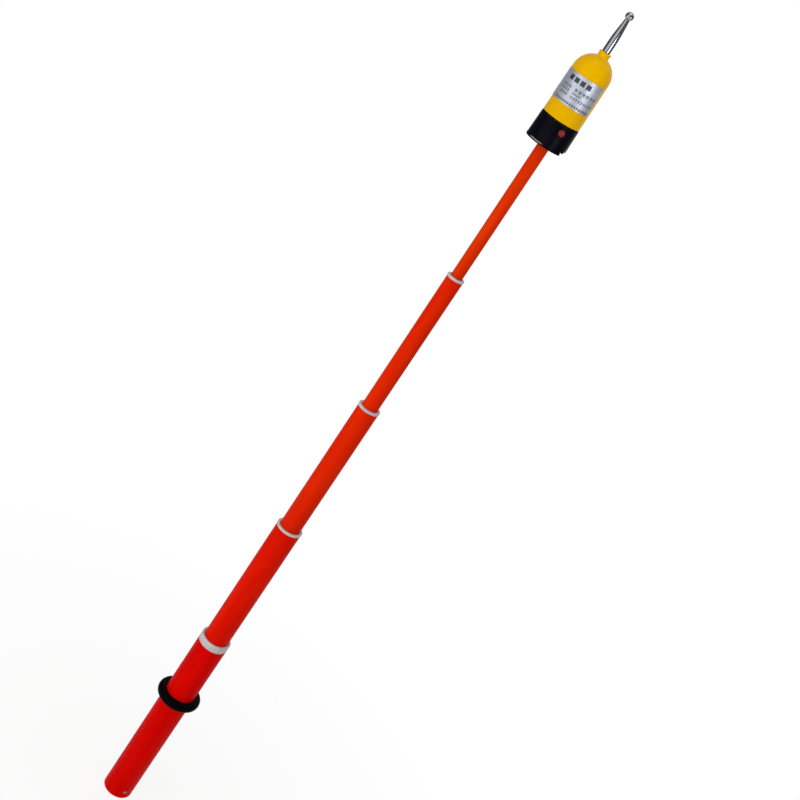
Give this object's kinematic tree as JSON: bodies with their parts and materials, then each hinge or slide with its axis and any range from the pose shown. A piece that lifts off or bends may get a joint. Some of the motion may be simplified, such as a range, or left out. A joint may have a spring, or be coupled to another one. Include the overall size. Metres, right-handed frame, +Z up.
{
  "type": "high voltage detector",
  "caption": "Telescopic high voltage detector: an insulating rod in sliding sections, with a hand guard and a domed sounding head that ends in a ball-tipped contact electrode.",
  "frame": {"origin": "centre of the handle's flat lower end", "axes": "+Z up the rod to the electrode, -Y to the front, where the test button is"},
  "size_m": [0.0482, 0.0482, 0.9622],
  "materials": {
    "handle_red": "smooth glossy lacquered glass fibre tube",
    "tube_red": "smooth glossy lacquered glass fibre tube",
    "tube_orange": "smooth glossy lacquered glass fibre tube",
    "white_nylon": "turned white nylon",
    "black_plastic": "moulded black ABS",
    "black_rubber": "moulded black rubber",
    "yellow_plastic": "moulded yellow ABS",
    "silver_foil": "satin foil label",
    "red_plastic": "moulded red push button",
    "red_lens": "clear red lamp",
    "green_board": "lacquered circuit board",
    "chrome": "chromed and polished",
    "nickel": "nickel-plated steel",
    "brass": "turned brass",
    "spring_steel": "drawn spring wire"
  },
  "bodies": {
    "handle": {"handle_tube": "handle_red", "handle_end_plug": "handle_red", "end_plug_rivet": "nickel", "hand_guard": "black_rubber", "guide_ring_1": "white_nylon"},
    "section_2": {"tube_2": "tube_red", "guide_ring_2": "white_nylon", "stop_bush_2": "white_nylon"},
    "section_3": {"tube_3": "tube_red", "guide_ring_3": "white_nylon", "stop_bush_3": "white_nylon"},
    "section_4": {"tube_4": "tube_orange", "guide_ring_4": "white_nylon", "stop_bush_4": "white_nylon"},
    "section_5": {"tube_5": "tube_orange", "stop_bush_5": "white_nylon", "rod_ferrule": "brass", "base_housing": "black_plastic", "seal_ring": "black_rubber", "dome_housing": "yellow_plastic", "label": "silver_foil", "electrode": "chrome", "electrode_washer": "nickel", "electrode_nut": "nickel", "button_spring": "spring_steel", "test_switch": "black_plastic", "switch_board": "green_board", "buzzer": "black_plastic", "signal_lamp_left": "red_lens", "signal_lamp_right": "red_lens", "battery_holder": "white_nylon", "battery_spring": "spring_steel", "button_cell_1": "nickel", "button_cell_2": "nickel", "button_cell_3": "nickel", "button_cell_4": "nickel", "main_board": "green_board", "processor_chip": "black_plastic", "trimmer": "black_plastic", "capacitor": "black_plastic", "antenna_spring": "spring_steel"},
    "test_button": {"test_button": "red_plastic"}
  },
  "joints": [
    {"name": "section_2_slide", "type": "slide", "parent": "handle", "child": "section_2", "axis": [0, 0, 1], "range_m": [-0.1515, 0]},
    {"name": "section_3_slide", "type": "slide", "parent": "section_2", "child": "section_3", "axis": [0, 0, 1], "range_m": [-0.1505, 0]},
    {"name": "section_4_slide", "type": "slide", "parent": "section_3", "child": "section_4", "axis": [0, 0, 1], "range_m": [-0.1495, 0]},
    {"name": "section_5_slide", "type": "slide", "parent": "section_4", "child": "section_5", "axis": [0, 0, 1], "range_m": [-0.1434, 0]},
    {"name": "test_button_press", "type": "slide", "parent": "section_5", "child": "test_button", "axis": [0, 1, 0], "range_m": [0, 0.0015], "stiffness_N_per_m": 600, "springref_m": -0.0008, "deforming": ["button_spring"]}
  ]
}
